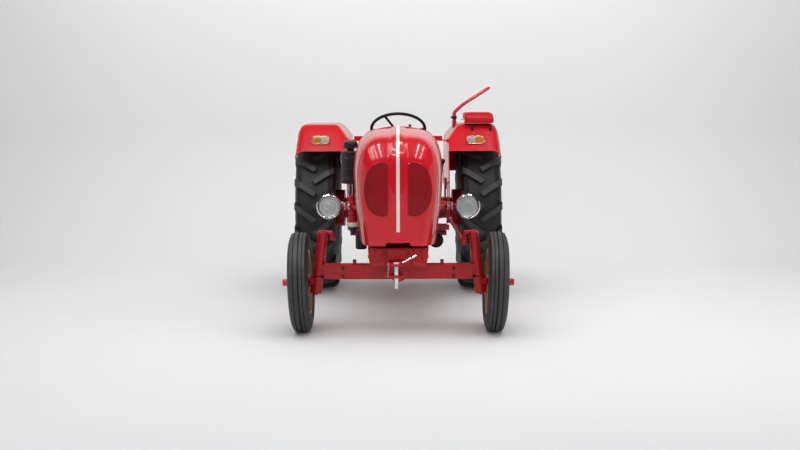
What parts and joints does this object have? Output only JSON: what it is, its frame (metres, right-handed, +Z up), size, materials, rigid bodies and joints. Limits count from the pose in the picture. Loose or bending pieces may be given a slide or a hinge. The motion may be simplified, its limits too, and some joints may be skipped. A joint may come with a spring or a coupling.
{
  "type": "vintage tractor",
  "caption": "Small vintage farm tractor with rounded tilting hood, ribbed front tyres, lugged rear tyres, fenders and a passenger seat.",
  "frame": {"origin": "on the ground, midway along the length and across the width", "axes": "+X to the tractor's own left, +Y to its rear, +Z up"},
  "size_m": [1.617, 3.027, 1.645],
  "materials": {
    "tyre_rubber": "matt black rubber",
    "rim_paint": "satin beige paint",
    "seat_vinyl": "padded red vinyl",
    "lamp_glass": "fluted clear glass",
    "signal_lens": "moulded clear and amber lens",
    "bright_metal": "polished bright metal",
    "black_paint": "satin black paint",
    "cast_grey": "cast, painted grey",
    "mesh_paint": "perforated sheet, red paint",
    "red_paint": "gloss red paint"
  },
  "bodies": {
    "chassis": {"air_cleaner": "black_paint", "axle_beam": "red_paint", "axle_ends": "red_paint", "controls": "red_paint", "cooling_duct": "red_paint", "cowl": "red_paint", "crankcase": "red_paint", "cylinders": "cast_grey", "drawbar": "red_paint", "exhaust": "black_paint", "fender_left": "red_paint", "fender_right": "red_paint", "footboards": "red_paint", "front_bracket": "red_paint", "gearbox": "red_paint", "headlamp_lenses": "lamp_glass", "headlamps": "black_paint", "indicators": "signal_lens", "lamp_brackets": "bright_metal", "lift_arms": "red_paint", "oil_filter": "black_paint", "rear_axle": "red_paint", "seat_cushions": "seat_vinyl", "seat_frame": "red_paint", "side_seat_cushion": "seat_vinyl", "side_seat_frame": "red_paint", "steering_box": "red_paint", "steering_column": "red_paint", "tail_lamps": "signal_lens", "tow_jaw": "red_paint", "tow_pin": "bright_metal"},
    "hood": {"hood": "red_paint", "grille": "mesh_paint", "hood_strip": "bright_metal"},
    "tie_rod": {"tie_rod": "red_paint"},
    "drop_arm": {"drop_arm": "red_paint"},
    "drag_link": {"drag_link": "red_paint"},
    "steering_wheel": {"steering_wheel": "black_paint"},
    "knuckle_left": {"knuckle_left": "red_paint"},
    "front_wheel_left": {"front_tyre_left": "tyre_rubber", "front_rim_left": "rim_paint", "front_hub_left": "red_paint"},
    "rear_wheel_left": {"rear_tyre_left": "tyre_rubber", "rear_rim_left": "rim_paint", "rear_hub_left": "red_paint"},
    "knuckle_right": {"knuckle_right": "red_paint"},
    "front_wheel_right": {"front_tyre_right": "tyre_rubber", "front_rim_right": "rim_paint", "front_hub_right": "red_paint"},
    "rear_wheel_right": {"rear_tyre_right": "tyre_rubber", "rear_rim_right": "rim_paint", "rear_hub_right": "red_paint"}
  },
  "joints": [
    {"name": "hood_tilt", "type": "hinge", "parent": "chassis", "child": "hood", "pos_m": [0, -1.3735, 0.578], "axis": [1, 0, 0], "range_deg": [0, 65]},
    {"name": "steer_left", "type": "hinge", "parent": "chassis", "child": "knuckle_left", "pos_m": [0.547, -1.1415, 0.283], "axis": [-0.1288, 0, 0.9917], "range_deg": [-35, 35]},
    {"name": "steer_right", "type": "hinge", "parent": "chassis", "child": "knuckle_right", "pos_m": [-0.547, -1.1415, 0.283], "axis": [0.1288, 0, 0.9917], "range_deg": [-36, 36]},
    {"name": "track_rod_pivot", "type": "hinge", "parent": "knuckle_left", "child": "tie_rod", "pos_m": [0.537, -0.9735, 0.36], "axis": [-0.1287, -0.04, 0.9909], "range_deg": [-36, 36]},
    {"name": "drop_arm_turn", "type": "hinge", "parent": "chassis", "child": "drop_arm", "pos_m": [0, -0.0415, 0.748], "axis": [1, 0, 0], "range_deg": [-20.7, 20.7]},
    {"name": "drag_link_pivot", "type": "hinge", "parent": "drop_arm", "child": "drag_link", "pos_m": [0.396, -0.0415, 0.632], "axis": [1, 0, 0], "range_deg": [-20.7, 20.7]},
    {"name": "steering_wheel_turn", "type": "hinge", "parent": "chassis", "child": "steering_wheel", "pos_m": [0, 0.4835, 1.312], "axis": [0, 0.5736, 0.8192], "range_deg": [-565, 565]},
    {"name": "front_spin_left", "type": "hinge", "parent": "knuckle_left", "child": "front_wheel_left", "pos_m": [0.646, -1.1415, 0.3325], "axis": [0.9995, 0, -0.0314], "continuous": true},
    {"name": "front_spin_right", "type": "hinge", "parent": "knuckle_right", "child": "front_wheel_right", "pos_m": [-0.646, -1.1415, 0.3325], "axis": [0.9995, 0, 0.0314], "continuous": true},
    {"name": "rear_spin_left", "type": "hinge", "parent": "chassis", "child": "rear_wheel_left", "pos_m": [0.651, 0.8585, 0.655], "axis": [1, 0, 0], "continuous": true},
    {"name": "rear_spin_right", "type": "hinge", "parent": "chassis", "child": "rear_wheel_right", "pos_m": [-0.651, 0.8585, 0.655], "axis": [1, 0, 0], "continuous": true}
  ],
  "couplings": [
    {"joint": "steer_right", "follows": "steer_left", "ratio": 1},
    {"joint": "track_rod_pivot", "follows": "steer_left", "ratio": -1},
    {"joint": "drop_arm_turn", "follows": "steer_left", "ratio": -0.576},
    {"joint": "drag_link_pivot", "follows": "steer_left", "ratio": 0.576},
    {"joint": "steering_wheel_turn", "follows": "steer_left", "ratio": 16}
  ]
}
